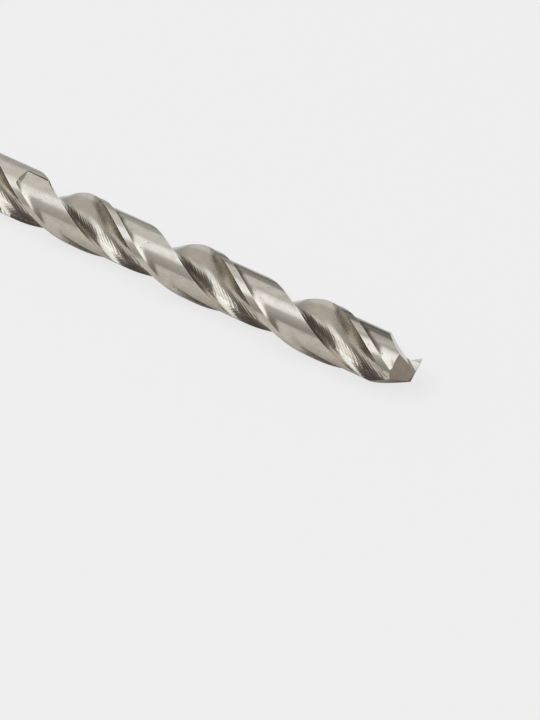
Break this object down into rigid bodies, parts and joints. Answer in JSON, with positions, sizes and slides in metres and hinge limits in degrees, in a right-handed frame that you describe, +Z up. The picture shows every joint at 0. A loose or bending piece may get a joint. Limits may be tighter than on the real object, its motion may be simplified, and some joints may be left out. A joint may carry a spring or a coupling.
{
  "type": "twist drill bit",
  "caption": "Straight-shank twist drill bit with right-hand helical flutes, narrow guiding margins, relieved lands and a split point, for drilling holes in metal.",
  "frame": {"origin": "centre of the shank's flat end face", "axes": "+X along the drill's axis from the shank to the point, +Z up with the drill lying on its side, +Y to the left of someone looking along +X"},
  "size_m": [0.086, 0.005, 0.005],
  "materials": {
    "tool_steel": "bright ground high-speed steel with fine grinding lines in the flutes"
  },
  "bodies": {
    "root": {"twist_drill": "tool_steel"}
  },
  "joints": []
}
